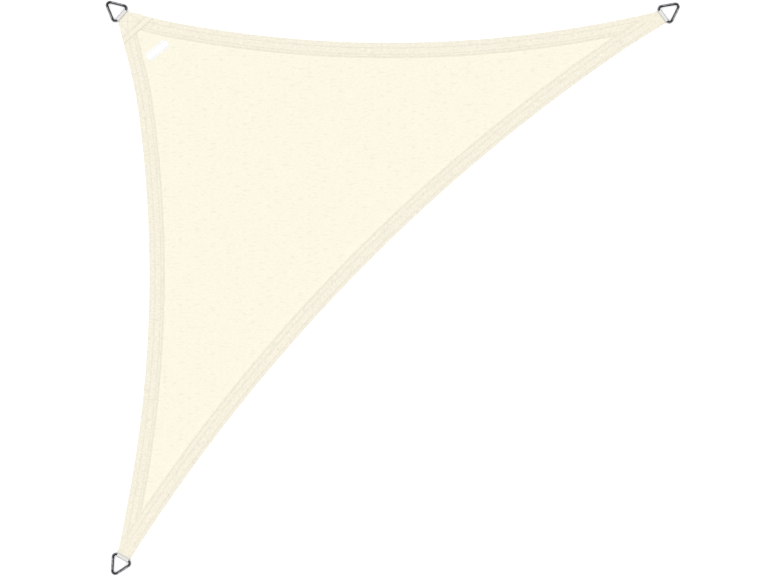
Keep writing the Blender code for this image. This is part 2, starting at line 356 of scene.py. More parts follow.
def rowLines(found, width):  # 1 on a row of stitches, less and less to its sides
    return np.max([rowShown(name, k, found) * gauss(found[name]["inset"] - row, width)
                   for name in arcs for k, row in enumerate(edges[name]["rows"])], axis=0)


def hemRelief(found):  # troughs along the rows, swellings between them, and puckers
    relief, swell = np.zeros((2, len(found["points"])))
    (unevenness, tugLength), (puckerHeight, puckerWidth, puckerLength) = sail["tug"], sail["pucker"]
    for phase, name in enumerate(arcs):
        rows, here = edges[name]["rows"], found[name]
        inHem = ease(-here["past"] / sail["hemFade"])
        if name != "slope":
            inHem = inHem * ease(found["slope"]["past"] / sail["hemFade"])
        for k, row in enumerate(rows):
            shown, off = rowShown(name, k, found), here["inset"] - row
            tug = 1 + unevenness * ripple(here["along"], tugLength, phase + k)
            relief -= sail["troughDepth"] * shown * tug * gauss(off, sail["troughWidth"])
            near = gauss(off, puckerWidth) * shown
            relief += puckerHeight * near * ripple(here["along"], puckerLength, 2 * phase + k)
        for low, high in zip((sail["pillowFrom"], *rows), rows):
            share = np.clip((here["inset"] - low) / (high - low), 0, 1)
            swell = np.maximum(swell, sail["pillowHeight"] * inHem * np.sin(math.pi * share) ** 2)
    return relief + swell * found["bare"]  # the patch lies on smooth cloth


def clothHeights(points, relief=True, bridge=0.0):
    # the cloth's upper and lower surface at these places, with the hem's inner step moved in by bridge
    found = survey(points)
    cover = {name: ease(0.5 - (found[name]["past"] - bridge) / sail["hemStep"]) for name in arcs}
    buried = [ease(0.5 - found[name]["past"] / sail["buriedStep"]) for name in ("left", "top")]
    panel, hem, lap = (sail[key] for key in ("panelThick", "hemThick", "lapThick"))
    bare = panel + (hem - panel) * np.maximum(cover["left"], cover["top"])
    lapped = hem + (lap - hem) * np.maximum(*buried)
    height = bare + (lapped - bare) * cover["slope"]
    drop = 0
    for back in found["ahead"].values():
        height = height + (sail["cornerThick"] - height) * ease((back - blockFoot) / sail["rampLength"])
        drop = drop + sail["lipRadius"] * (1 - dome((endBack - back) / sail["lipRadius"]))
    x, y = points.T
    short, long = sail["liftSizes"]
    wave = ripple(x + 0.4 * y, short, 1.0) * ripple(y - 0.3 * x, long, 2.0)
    away = ease((found["past"] - sail["tightRun"]) / sail["looseRun"])
    lift = sail["panelLift"] * away * (0.5 + 0.5 * wave)
    (gatherHeight, gatherWidth, gatherLength), (ownFade, anyFade) = sail["gather"], sail["gatherFade"]
    for phase, name in enumerate(arcs):  # small gathers where the hem's stitches draw the panel in
        past = found[name]["past"]
        gather = ease(past / ownFade) * gauss(past, gatherWidth) * ease(found["past"] / anyFade)
        lift = lift + gatherHeight * gather * (1 + ripple(found[name]["along"], gatherLength, phase))
    rounded = dome(np.maximum(found["nearest"], 0) / (sail["foldShare"] * height))
    top = height / 2 * (1 + rounded) - drop * rounded + lift
    bottom = height / 2 * (1 - rounded) + drop * rounded + lift
    if relief:
        inside = ease(found["nearest"] / sail["foldFade"])
        top = top + inside * hemRelief(found)
        bottom = bottom + inside * sail["underTrough"] * rowLines(found, sail["troughWidth"])
    return top, bottom


def reachAside(corner, side):  # the cloth's width on one side of a corner's middle line, behind the pocket
    name = next(n for n in arcs if edges[n]["ends"][side < 0] == corner)
    share = np.linspace(0, 0.1, 200) if side > 0 else np.linspace(1, 0.9, 200)
    x, y = intoCorner(corner, onEdge(name, share, 0.0))
    return abs(np.interp(-pocketBack, -x, y))


def rimShares(name):
    count = round(arcs[name]["length"] / sail["columnStep"])
    return np.arange(count + 1) / count


def rimAside():  # places across the cloth's cut end, with the pocket's two sides among them
    half, pocket = sail["endWidth"] / 2, sail["pocketWidth"] / 2
    sides = [half - 0.0002, half - 0.0006, half - 0.0011]
    return np.array([-s for s in sides] + list(np.linspace(-pocket, pocket, 19)) + sides[::-1])


def clothRing():  # the outline, anticlockwise, and which of its points lie on a cut end
    points, cut = [], []
    for name in arcs:
        line = onEdge(name, rimShares(name), 0.0)
        end = outOfCorner(edges[name]["ends"][1], endBack, rimAside())
        points += [line, end]
        cut += [False] * len(line) + [True] * len(end)
    return np.concatenate(points), np.array(cut)


def insideGrid(step, low=-1.0, high=1.0):
    up = np.arange(low, high, step * math.sqrt(3) / 2)
    x, y = np.meshgrid(np.arange(low, high, step), up)
    x = x + (np.arange(len(up)) % 2)[:, None] * step / 2
    return np.stack((x.ravel(), y.ravel()), axis=1)


def meshRow(name, inset, step=1):
    return survey(onEdge(name, rimShares(name)[1:-1:step], inset))


def rowInsets(name, side):  # insets of the mesh's rows: close together at stitches and at the hem's edge
    edge, width = edges[name], sail["troughWidth"]
    if side == "bottom":
        return [row + k * width for row in edge["rows"] for k in (-1.7, -0.8, 0, 0.8, 1.7)]
    rows = [row + k * width for row in edge["rows"] for k in (-2, -1, 0, 1, 2)]
    rows += [edge["hem"] + past for past in stepInsets]
    marks = [0.003, *edge["rows"]]
    rows += [low + (high - low) * k / 4 for low, high in zip(marks, edge["rows"]) for k in (1, 2, 3)]
    kept = []
    for row in sorted(rows):
        if row > foldClear and (not kept or row - kept[-1] > leastRowGap):
            kept.append(row)
    return kept


def keepOwn(name, found):  # which points of an edge's rows stay, where two edges' rows would cross
    keep = np.all([back < gridReach[0][0] - 0.0005 for back in found["ahead"].values()], axis=0)
    here, ownHem = found[name], 0.0015  # rows up to this far past the hem belong to it
    for other in [other for other in arcs if other != name]:
        there = found[other]
        keep &= there["inset"] > foldClear
        keep &= (here["past"] <= ownHem) | (there["past"] > here["past"] + 0.001)  # its half of the panel
        if other == "slope":
            keep &= there["past"] > ownHem  # the long edge's hem lies on top, with its own rows
        elif name != "slope":
            keep &= there["inset"] > here["inset"] + 0.0006
    return keep


def insidePoints(side):  # the mesh's points inside the outline, the most important first
    mesh, kept = meshing[side], []
    for name in arcs:
        for inset in foldInsets[:mesh["folds"]]:
            found = meshRow(name, inset)
            keep = [found[other]["inset"] > inset + foldInsets[1] for other in arcs if other != name]
            keep += [back < endBack - endClear for back in found["ahead"].values()]
            kept.append(found["points"][np.all(keep, axis=0)])
    aside = rimAside()[3:-3]
    for corner in corners:
        for back in lipInsets:
            kept.append(outOfCorner(corner, np.full(len(aside), endBack - back), aside))
    for corner in corners:
        x, y = np.meshgrid(*(np.arange(*reach, mesh["block"]) for reach in gridReach))
        found = survey(outOfCorner(corner, x.ravel(), y.ravel()))
        kept.append(found["points"][found["nearest"] > blockClear])
    for name in arcs:
        for inset in rowInsets(name, side):
            found = meshRow(name, inset, mesh["rowStep"])
            kept.append(found["points"][keepOwn(name, found)])
    found = survey(insideGrid(mesh["panel"]))
    kept.append(found["points"][found["past"] > mesh["panelFrom"]])
    return np.concatenate(kept)


def triangles(ring, points):  # leaves out a point that shares its tiny square with an earlier one
    everything, cells, kept = np.concatenate((ring, points)), set(), []
    for i, cell in enumerate(map(tuple, np.floor(everything / leastGap).astype(int).tolist())):
        if i < len(ring) or cell not in cells:
            kept.append(Vector(everything[i]))
            cells.add(cell)
    rim = [(i, (i + 1) % len(ring)) for i in range(len(ring))]
    verts, _, faces = delaunay_2d_cdt(kept, rim, [], 1, 1e-7)[:3]
    return np.array([tuple(v) for v in verts]), [tuple(face) for face in faces]


def pocketSkin(corner, topRim, bottomRim, start):
    # topRim, bottomRim: vertex numbers along the cut end; start: the number of the first new vertex
    aside = rimAside()
    low, high = 3, len(aside) - 4  # the pocket's two sides among the rim's places
    half, lip = sail["pocketWidth"] / 2, sail["lipRadius"]
    narrowing = {side: min(half, reachAside(corner, side) - sail["sideWall"]) / half for side in (-1, 1)}
    depths = (lip, 0.012, 0.03, sail["pocketDepth"])
    bend = lip * (1 - math.sqrt(0.5))
    points, grid, last = [], {}, len(depths)
    for k in range(low, high + 1):
        grid[k, 1, -1], grid[k, -1, -1] = topRim[k], bottomRim[k]
        for level, rim in ((sail["pocketRoof"], 1), (sail["pocketFloor"], -1)):
            line = [(bend, level + rim * bend)] + [(depth, level) for depth in depths]
            for j, (depth, z) in enumerate(line):
                share = max(depth - lip, 0) / (sail["pocketDepth"] - lip)
                y = aside[k] * (1 + share * (narrowing[1 if aside[k] > 0 else -1] - 1))
                grid[k, rim, j] = start + len(points)
                points.append((*outOfCorner(corner, endBack - depth, y), z))
    cells = []
    for k in range(low, high):
        for j in range(-1, last):
            for rim, a, b in ((1, j, j + 1), (-1, j + 1, j)):
                cells.append(((k, rim, a), (k + 1, rim, a), (k + 1, rim, b), (k, rim, b)))
        cells.append(((k, 1, last), (k + 1, 1, last), (k + 1, -1, last), (k, -1, last)))
    for j in range(1, last):
        for k, a, b in ((low, j + 1, j), (high, j, j + 1)):
            cells.append(((k, 1, a), (k, -1, a), (k, -1, b), (k, 1, b)))
    faces = [tuple(grid[place] for place in cell) for cell in cells]
    for k, turn in ((low, 1), (high, -1)):
        mouth = [grid[k, rim, j] for rim, j in ((1, -1), (1, 0), (1, 1), (-1, 1), (-1, 0), (-1, -1))]
        faces.append(tuple((mouth + [bottomRim[k - turn], topRim[k - turn]])[::turn]))
    return points, faces, low, high


def buildCloth(material):
    ring, cut = clothRing()
    topFlat, topFaces = triangles(ring, insidePoints("top"))
    bottomFlat, bottomFaces = triangles(ring, insidePoints("bottom"))
    top = np.column_stack((topFlat, clothHeights(topFlat)[0]))
    bottom = np.column_stack((bottomFlat, clothHeights(bottomFlat)[1]))
    # both surfaces share the outline, except along the cut ends, where the pockets open
    number = np.arange(len(bottom))
    used = np.append(cut, np.ones(len(bottom) - len(ring), bool))
    number[used] = len(top) + np.arange(used.sum())
    points = [*top.tolist(), *bottom[used].tolist()]
    faces = topFaces + [tuple(number[i] for i in reversed(f)) for f in bottomFaces]
    count = len(rimAside())
    for name, first in zip(arcs, np.flatnonzero(cut & ~np.roll(cut, 1))):
        upper = [first + k for k in range(count)]
        lower = [int(number[i]) for i in upper]
        more, skins, low, high = pocketSkin(edges[name]["ends"][1], upper, lower, len(points))
        points += more
        faces += skins + [(first - 1, upper[0], lower[0])]
        faces += [(upper[-1], (first + count) % len(ring), lower[-1])]
        faces += [(upper[k], upper[k + 1], lower[k + 1], lower[k])
                  for k in range(count - 1) if k + 1 < low or k > high]
    faces = [tuple(int(i) for i in f) for f in faces]
    return newPiece("sailCloth", points, faces, material, "knitted_cloth"), len(topFaces)


def paintCloth(cloth, topCount):
    # knitPlace: the cloth's own length and width at each face corner. A hem is the cloth turned over at
    # its fold, so its knit is the panel's, mirrored: on the long edge it runs across.
    mesh = cloth.data
    points = np.array([vertex.co[:2] for vertex in mesh.vertices])
    corner = np.array([loop.vertex_index for loop in mesh.loops])
    found = survey(np.array([face.center[:2] for face in mesh.polygons]))
    onTop = np.arange(len(mesh.polygons)) < topCount
    left, slope, top = (found[name] for name in arcs)
    short = onTop & ((left["past"] < 0) | (top["past"] < 0))
    hem = np.where(short, np.where(left["inset"] < top["inset"], 1, 3), 0)
    hem[onTop & (slope["past"] < 0)] = 2
    hem = np.repeat(hem, [face.loop_total for face in mesh.polygons])
    place = points[corner]
    for k, name in enumerate(arcs):
        share, inset = fromEdge(name, points)
        turned = onEdge(name, share, -inset)
        place = np.where((hem == k + 1)[:, None], turned[corner], place)
    setMark(mesh, "knitPlace", np.column_stack((place[:, ::-1], np.zeros(len(place)))), "CORNER")
    setMark(mesh, "hemLayer", hem > 0, "CORNER")
    found = survey(points)
    # painted shade: darker along the stitch rows and inside the outer fold, with a painted shadow just
    # outside the patch's edge
    depth, width = sail["foldShade"]
    fold = depth * gauss(found["nearest"] - width, width)
    crease = np.maximum(rowLines(found, sail["shadeWidth"]), fold)
    shadow = gauss(found["patch"] + patch["edgeShadow"], patch["shadeWidth"])
    setMark(mesh, "crease", np.maximum(crease, patch["edgeShade"] * shadow))


# Knitted polyethylene: flat tapes laid in a zigzag between upright chains of loops. Near to, the eye sees
# the chains and the slanting tapes. From afar the tapes differ a little, which gives short level dashes.
# The hem is the same cloth turned over, so it looks denser and a little darker.
knit = {
    "panelColour": "#EFEBD8",
    "hemColour": "#EAE4D3",
    "chainPitch": 0.0032,  # really about 2.5 mm, drawn coarser so that the loops can be told apart
    "chainPower": 5.0,  # the higher, the narrower a chain looks
    "loopHeights": (0.55, 1.25),  # of a chain, between and on its loops
    "tapePitch": 0.0017,  # really about 1.2 mm
    "lean": 0.42,  # how far a tape climbs for each unit that it runs across
    "drift": 0.0011,  # how far the tapes stray from even rows
    "driftSize": 0.009,
    "gapPower": 6.0,
    "gapShade": 0.11,
    "tapeHeights": (0.30, 0.20, -0.45),  # a tape's crown, its edge and the gap beside it
    "chainShine": 0.025,
    "dashSize": (0.0053, 0.0110),  # up and across, over a few tapes
    "dashes": 0.070,  # brightness of the dashes in the panel
    "hemDashes": 0.170,
    "slubSize": (0.0075, 0.0280),  # up and across, of the short dark dash where a tape lies doubled
    "slubRange": (0.33, 0.26),  # of the noise: the lower, the fewer slubs
    "slubShade": 0.055,
    "mottleSize": 0.06,
    "mottle": 0.010,
    # how much the painted shade at rows, folds and the patch's edge darkens the cloth
    "creaseShade": 0.110,
    "roughness": 0.55,
    "relief": 0.00035,
}


def knittedPolyethylene():
    material, add, finish = newMaterial("knittedPolyethyleneTape", {
        "Roughness": knit["roughness"], "IOR": 1.51})
    place = add("Attribute", {"attribute_name": "knitPlace"}, "Vector")
    hem, crease = (add("Attribute", {"attribute_name": name}, "Fac") for name in ("hemLayer", "crease"))
    up, across, _ = add("SeparateXYZ", {0: place}, None)
    zigzag = add("Math", {"operation": "PINGPONG", 0: across, 1: knit["chainPitch"]})
    leant = add("Math", {"operation": "MULTIPLY_ADD", 0: zigzag, 1: knit["lean"], 2: up})
    stray = add("TexNoise", {"Vector": place, "Scale": 1 / knit["driftSize"], "Detail": 1.0})
    strayed = add("Math", {"operation": "MULTIPLY_ADD", 0: stray, 1: knit["drift"], 2: leant})
    laid = add("CombineXYZ", {0: strayed, 1: across})
    # a wave's period is pi / 10 over its scale; its crests stand on the chains and along the tapes' middles
    wave = math.pi / 10
    chains = add("TexWave", {"bands_direction": "Y", "Vector": laid, "Scale": wave / knit["chainPitch"],
                             "Phase Offset": math.pi}, "Fac")
    tapes = add("TexWave", {"bands_direction": "X", "Vector": laid,
                            "Scale": wave / knit["tapePitch"]}, "Fac")
    chain = add("Math", {"operation": "POWER", 0: chains, 1: knit["chainPower"]})
    low, high = knit["loopHeights"]
    loops = add("MapRange", {"Value": tapes, "To Min": low, "To Max": high})
    chainHeight = add("Math", {"operation": "MULTIPLY", 0: chain, 1: loops})
    between, trough = (add("Math", {"operation": "SUBTRACT", 0: 1.0, 1: crest}) for crest in (chain, tapes))
    narrow = add("Math", {"operation": "POWER", 0: trough, 1: knit["gapPower"]})
    gap = add("Math", {"operation": "MULTIPLY", 0: narrow, 1: between})
    row = add("Math", {"operation": "SNAP", 0: strayed, 1: knit["tapePitch"]})
    rows = add("CombineXYZ", {0: row, 1: across})
    noises = []
    for (tall, wide), detail in ((knit["dashSize"], 2.5), (knit["slubSize"], 0.0)):
        scaled = add("Mapping", {"Vector": rows, "Scale": (1 / tall, 1 / wide, 1)})
        noises.append(add("TexNoise", {"Vector": scaled, "Scale": 1.0, "Detail": detail}))
    few, fewer = knit["slubRange"]
    slub = add("MapRange", {"Value": noises[1], "From Min": few, "From Max": fewer})
    centred = add("Math", {"operation": "SUBTRACT", 0: noises[0], 1: 0.5})
    strength = add("MapRange", {"Value": hem, "To Min": 2 * knit["dashes"],
                                "To Max": 2 * knit["hemDashes"]})
    light = add("Math", {"operation": "MULTIPLY_ADD", 0: centred, 1: strength, 2: 1 - knit["mottle"]})
    mottle = add("TexNoise", {"Vector": place, "Scale": 1 / knit["mottleSize"], "Detail": 1.0})
    # the last term darkens the colour with the painted shade at rows, folds and the patch's edge
    for shade, amount in ((mottle, 2 * knit["mottle"]), (gap, -knit["gapShade"]),
                          (slub, -knit["slubShade"]), (chainHeight, knit["chainShine"]),
                          (crease, -knit["creaseShade"])):
        light = add("Math", {"operation": "MULTIPLY_ADD", 0: shade, 1: amount, 2: light})
    base = add("Mix", {"data_type": "RGBA", 0: hem, 6: knit["panelColour"], 7: knit["hemColour"]}, 2)
    colour = add("HueSaturation", {"Color": base, "Value": light})
    rise, edge, sink = knit["tapeHeights"]
    crown = add("Math", {"operation": "MULTIPLY_ADD", 0: tapes, 1: rise, 2: edge})
    tape = add("Math", {"operation": "MULTIPLY_ADD", 0: gap, 1: sink, 2: crown})
    height = add("Math", {"operation": "SMOOTH_MAX", 0: chainHeight, 1: tape, 2: 0.2})
    bump = add("Bump", {"Height": height, "Strength": 1.0, "Distance": knit["relief"]})
    finish({"Base Color": colour, "Normal": bump})
    return material


clothMaterial = knittedPolyethylene()
cloth, clothTopFaces = buildCloth(clothMaterial)
paintCloth(cloth, clothTopFaces)
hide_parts("sail_cloth")
print("cloth:", len(cloth.data.polygons), "faces")


def offLine(points, start, end):  # how far each point is from a straight line between two places
    run = end - start
    share = np.clip((points - start) @ run / (run @ run), 0, 1)
    return np.hypot(*(points - start - share[:, None] * run).T)


def patchRim(found):  # how far inside the patch's outline
    rim = np.minimum(found["nearest"] - patch["inset"], found["patch"])
    return np.minimum(rim, endBack - patch["inset"] - found["ahead"]["square"])


def patchHeights(points):  # the patch's upper and lower surface
    under = clothHeights(points, relief=False, bridge=patch["bridge"])[0] + patch["gap"]
    rim = np.maximum(patchRim(survey(points)), 0)
    relief = np.zeros(len(points))
    for line in patchLines():
        relief -= sail["troughDepth"] * gauss(offLine(points, *line), sail["troughWidth"])
    relief = np.maximum(relief, -patch["deepest"] * sail["troughDepth"]) * ease(rim / patch["rimFade"])
    middle = under + patch["thick"] / 2
    thin = patch["rimThick"]
    half = patch["thick"] / 2 * (thin + (1 - thin) * dome(rim / patch["rimRadius"]))
    return middle + half + relief, middle - half


def patchAcross(back):  # a line across the patch, this far behind the cloth's end, from side to side
    bar, reach = corners["square"]["bar"], np.linspace(-0.12, 0.12, 600)
    line = placeAt(bar, patch["axis"], np.full(600, endBack - back), reach)
    inside = line[survey(line)["nearest"] > patch["sideRow"]]
    return inside[0], inside[-1]


def patchLines():  # two rows across, and a box with a cross in it over the webbing's tails
    front = endBack - patch["sideRow"]
    place = [outOfCorner("square", front, side * patch["frontHalf"]) for side in (1, -1)]
    right, left = patchAcross(patch["rowBack"])
    place += [(left + right) / 2 + side * patch["backHalf"] * unit(right - left) for side in (1, -1)]
    pairs = ((0, 1), (1, 2), (3, 0), (0, 2), (1, 3))
    edgeRow = patchAcross(patch["length"] - patch["edgeRow"])
    return [(place[a], place[b]) for a, b in pairs] + [(right, left), edgeRow]


def patchRing():
    def thinned(line):
        run = runAlong(line)[-1]
        return alongLine(line, np.linspace(0, run, round(run / patch["step"]) + 1))

    sides = []
    for name, ends in (("left", (0.0, 0.08)), ("top", (0.92, 1.0))):
        line = onEdge(name, np.linspace(*ends, 800), patch["inset"])
        found = survey(line)
        inFront = found["ahead"]["square"] <= endBack - patch["inset"]
        sides.append(thinned(line[(found["patch"] >= 0) & inFront]))
    left, top = sides
    front, back = (thinned(np.array(pair)) for pair in ((left[-1], top[0]), (top[-1], left[0])))
    return np.concatenate((left[:-1], front[:-1], top[:-1], back[:-1]))


def buildPatch(material):
    ring = patchRing()
    before, after = ring - np.roll(ring, 1, axis=0), np.roll(ring, -1, axis=0) - ring
    inward = leftOf(unit(unit(before) + unit(after)))
    inward *= np.sign(((ring.mean(axis=0) - ring) * inward).sum(axis=1))[:, None]
    grid = insideGrid(patch["step"], 0, 0.2) + ring.min(axis=0) - 0.01
    rows = [ring + inset * inward for inset in foldInsets[:3]]
    flat, faces = triangles(ring, np.concatenate([*rows, grid[patchRim(survey(grid)) > patch["step"]]]))
    top, bottom = patchHeights(flat)
    count = len(ring)
    top[:count] = bottom[:count] = (top + bottom)[:count] / 2
    points = np.concatenate((np.column_stack((flat, top)), np.column_stack((flat, bottom))[count:]))
    shift = len(flat) - count
    faces += [tuple(i if i < count else i + shift for i in reversed(face)) for face in faces]
    found = survey(points[:, :2])
    ahead, left = seenFrom(corners["square"]["bar"], patch["axis"], found["points"])
    # painted shade along the patch's rows, and a painted shadow just outside its edge
    crease = patch["edgeShade"] * gauss(found["patch"] + patch["edgeShadow"], patch["shadeWidth"])
    for depth, line in zip(patch["lineShades"], patchLines()):
        crease = np.maximum(crease, depth * gauss(offLine(found["points"], *line), patch["shadeWidth"]))
    piece = newPiece("cornerPatch", points, faces, material, "knitted_cloth", {
        "knitPlace": np.column_stack((left, ahead, np.zeros(len(points)))),
        "hemLayer": np.full(len(points), patch["hemLayer"]), "crease": crease})
    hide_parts("corner_patch")
    return piece


cornerPatch = buildPatch(clothMaterial)
print("patch:", len(cornerPatch.data.polygons), "faces")


stitch = {
    "pitch": 0.0060,  # really about 4 mm, drawn longer so that single stitches can be told apart
    "length": 0.0048,
    "threadRadius": 0.00048,
    "tagPitch": 0.0032,
    "tagLength": 0.0024,
    "tagThreadRadius": 0.00022,
    "colour": "#E9E2CF",
    "plyPitch": 0.0013,
    "wander": 0.00018,  # how far a stitch may lie off its line
    "tilt": 0.05,  # and how far it may turn from it
    # along a stitch, as shares of its length, and how high it stands there, in thread radii
    "bow": ((-0.5, -1.1), (-0.22, 0.55), (0.22, 0.55), (0.5, -1.1)),
    "underBow": -0.55,  # underneath it bows the other way, and less
    "endThick": 0.8,  # its ends, as a share of its thickness
}


def rowStitches(name, k):
    inset = edges[name]["rows"][k]
    count = int(arcs[name]["length"] / stitch["pitch"])
    share = (np.arange(count) + 0.5) / count
    places = onEdge(name, share, inset)
    ahead = onEdge(name, share + 0.0005, inset) - onEdge(name, share - 0.0005, inset)
    shown = rowShown(name, k, survey(places)) > 0.5
    return places[shown], unit(ahead)[shown]


def lineStitches(start, end, pitch):
    run = end - start
    count = max(1, round(np.hypot(*run) / pitch))
    share = (np.arange(count) + 0.5) / count
    return start + share[:, None] * run, np.repeat(unit(run)[None], count, axis=0)


def threadMesh(name, lines, surface, material, slot, length, radius, seed, sides=5, under=False):
    # each stitch is a short bowed piece of thread with both ends sunk in the cloth
    places, ahead = (np.concatenate(part) for part in zip(*lines))
    chance = np.random.default_rng(seed)
    places = places + chance.normal(0, stitch["wander"], (len(places), 2)) * (length / stitch["length"])
    ahead = unit(ahead + chance.normal(0, stitch["tilt"], len(places))[:, None] * leftOf(ahead))
    steps, count = len(stitch["bow"]), len(places)
    points, marks = np.zeros((2, count, steps, sides, 3))
    for row, (step, rise) in enumerate(stitch["bow"]):
        rise = rise * radius * (stitch["underBow"] if under else 1)
        thick = radius * (stitch["endThick"] if row in (0, steps - 1) else 1.0)
        centre = places + step * length * ahead
        height = np.maximum(surface(centre)[int(under)] + rise, 1.1 * radius)
        for k in range(sides):
            turn = 2 * math.pi * (k + 0.25) / sides
            points[:, row, k, :2] = centre + thick * math.cos(turn) * leftOf(ahead)
            points[:, row, k, 2] = height + thick * math.sin(turn)
            marks[:, row, k] = (step * length, k / sides, 0)
    last = (steps - 1) * sides
    faces = tube(steps, sides) + [tuple(range(sides))[::-1], tuple(range(last, last + sides))]
    every = [tuple(i * steps * sides + v for v in face) for i in range(count) for face in faces]
    return newPiece(name, points.reshape(-1, 3), every, material, slot, {"threadPlace": marks})


# Bonded polyester sewing thread: round, twisted and smooth, so each stitch carries a small soft highlight.
def bondedPolyesterThread():
    material, add, finish = newMaterial("bondedPolyesterThread", {
        "Base Color": stitch["colour"], "Roughness": 0.5, "IOR": 1.57})
    place = add("Attribute", {"attribute_name": "threadPlace"}, "Vector")
    along, around, _ = add("SeparateXYZ", {0: place}, None)
    turn = add("Math", {"operation": "MULTIPLY_ADD", 0: along, 1: 1 / stitch["plyPitch"], 2: around})
    angle = add("Math", {"operation": "MULTIPLY", 0: turn, 1: 2 * math.pi})
    plies = add("Math", {"operation": "SINE", 0: angle})
    bump = add("Bump", {"Height": plies, "Strength": 0.8, "Distance": 0.0001})
    finish({"Normal": bump})
    return material


# the box with a cross in it that is sewn over a loop's tails
box = {"front": 0.0060, "back": 0.0480, "half": 0.0175, "backHalf": 0.0150}


def boxLines(corner):
    front, back = endBack - box["front"], endBack - box["back"]
    tips = [outOfCorner(corner, x, y) for x, y in (
        (front, box["half"]), (front, -box["half"]), (back, -box["backHalf"]), (back, box["backHalf"]))]
    pairs = ((0, 1), (1, 2), (2, 3), (3, 0), (0, 2), (1, 3))
    return [lineStitches(tips[a], tips[b], stitch["pitch"]) for a, b in pairs]


def sewSail(thread):
    sew = partial(threadMesh, material=thread, slot="knitted_cloth", length=stitch["length"],
                  radius=stitch["threadRadius"])
    sewn = []
    for seed, name in enumerate(arcs):
        lines = [rowStitches(name, k) for k in range(3)]
        sewn.append(sew("stitches" + name.capitalize(), lines, clothHeights, seed=seed))
        sewn.append(sew("bobbinStitches" + name.capitalize(), lines, clothHeights, seed=seed, sides=4,
                        under=True))
    for seed, corner in enumerate(("lower", "right"), 10):
        sewn.append(sew("boxStitches" + corner.capitalize(), boxLines(corner), clothHeights, seed=seed))
    lines = [lineStitches(start, end, stitch["pitch"]) for start, end in patchLines()]
    return sewn + [sew("patchStitches", lines, patchHeights, seed=20)]


threadMaterial = bondedPolyesterThread()
stitches = sewSail(threadMaterial)
print("stitches:", sum(len(piece.data.polygons) for piece in stitches), "faces")


webbing = {
    "width": 0.045,
    "thick": 0.0015,
    "tail": 0.048,
    "mouth": 0.0012,  # it leaves the pocket's level this far behind the cloth's end
    "pulls": (0.006, 0.0052),  # how strongly it keeps its direction in the lower and the upper bend
    "slack": 0.0016,  # how far the wrap stands off the ring's bar, towards the eye
    "wrap": (-102, 170),  # degrees round the bar, from under it to above it
    "ribs": 18,  # warp ribs across the width, 2.5 mm each; really about 1.6 mm, drawn coarser
    "floatPitch": 0.0030,  # along the strap
    "ribDepth": 0.00022,
    "ribRoundness": 0.8,  # the lower, the flatter
    "ribHeights": (0.45, 0.55),  # between two floats, and what a float adds, as shares of that depth
    "selvedge": 0.0007,  # the rounding of its edges
    "thinEdge": 0.12,  # their thickness, as a share
    "fineStep": 0.0005,  # of its mesh, outside the tails
    "fineMargin": 0.003,  # and this far into them
    "rimInset": 0.00008,  # of its outermost row of points
    "fibreSize": (0.00038, 0.0014),  # across and along, drawn about ten times too thick
    "colour": "#E2E2DF",
    "shade": "#C9C9C8",
    "rubbed": "#97979C",  # the grey that steel leaves where it rubs
    "shadeFacing": (0.50, 0.90),  # painted shade where the wrap turns down towards the ring's eye
    "roughness": 0.7,
}
wire = {
    "radius": 0.0045,
    "base": 0.078,
    "height": 0.077,
    "bend": 0.0105,
    "bendSteps": 26,
    "straightStep": 0.0018,
    "sides": 36,
    "litReach": 0.44,  # how far round the wire the painted reflection reaches, towards the inner side
    "litFade": 0.75,
    "bendShade": (0.38, 0.25),  # how much less the painted reflection reaches in a bend, and how much darker, as painted shade, it is there
    "bendFade": 0.006,  # over this length beside the bend
    # the outer side is painted as a bright reflection, the inner side as dark shade
    "outer": "#A2A2A6",
    "inner": "#28272A",
    "mark": "#6C6C70",
    "markSize": (0.0030, 0.0170),  # of the marks on the bright outer side: along the wire, and round it
    "lineSize": (0.0110, 0.0002),  # the same of the lines that drawing leaves
    "roughness": 0.24,
    "dullRoughness": 0.34,
}
wrapRadius = wire["radius"] + sail["clearance"] + webbing["thick"]


def hermite(start, leave, end, arrive, count):
    s = np.linspace(0, 1, count)[:, None]
    leave, arrive = np.array(leave), np.array(arrive)
    return ((2 * s**3 - 3 * s**2 + 1) * start + (s**3 - 2 * s**2 + s) * leave
            + (3 * s**2 - 2 * s**3) * end + (s**3 - s**2) * arrive)


def strapPath():  # the strap's middle, seen along the bar: (x, z)
    radius = wrapRadius - webbing["thick"] / 2
    low = sail["pocketFloor"] + sail["clearance"] + webbing["thick"] / 2
    high = sail["pocketRoof"] - sail["clearance"] - webbing["thick"] / 2
    mouth, end = endBack - webbing["mouth"], endBack - webbing["tail"]
    under, over = webbing["pulls"]
    first, last = (math.radians(angle) for angle in webbing["wrap"])
    angle = np.linspace(first, last, 160)
    ahead = radius * np.cos(angle) + webbing["slack"] * np.maximum(np.cos(angle), 0) ** 2
    wrap = np.column_stack((ahead, wrapRadius + radius * np.sin(angle)))
    leave, arrive = ((-length * math.sin(angle), length * math.cos(angle))
                     for angle, length in ((last, over), (first, under)))
    into = hermite(np.array((mouth, low)), (under, 0), wrap[0], arrive, 60)
    out = hermite(wrap[-1], leave, np.array((mouth, high)), (-over, 0), 60)
    return np.concatenate(([(end, low)], into, wrap[1:-1], out, [(end, high)]))


def spacedStrap():
    path = strapPath()
    tail, full = runAlong(path)[[1, -1]]
    margin = webbing["fineMargin"]
    count = round((full - 2 * tail + 2 * margin) / webbing["fineStep"])
    fine = np.linspace(tail - margin, full - tail + margin, count)
    first, last = np.linspace(0, tail - 2 * margin, 5), np.linspace(full - tail + 2 * margin, full, 5)
    run = np.concatenate((first, fine, last))
    ahead = alongLine(path, run + 0.0001) - alongLine(path, run - 0.0001)
    return alongLine(path, run), unit(ahead), run


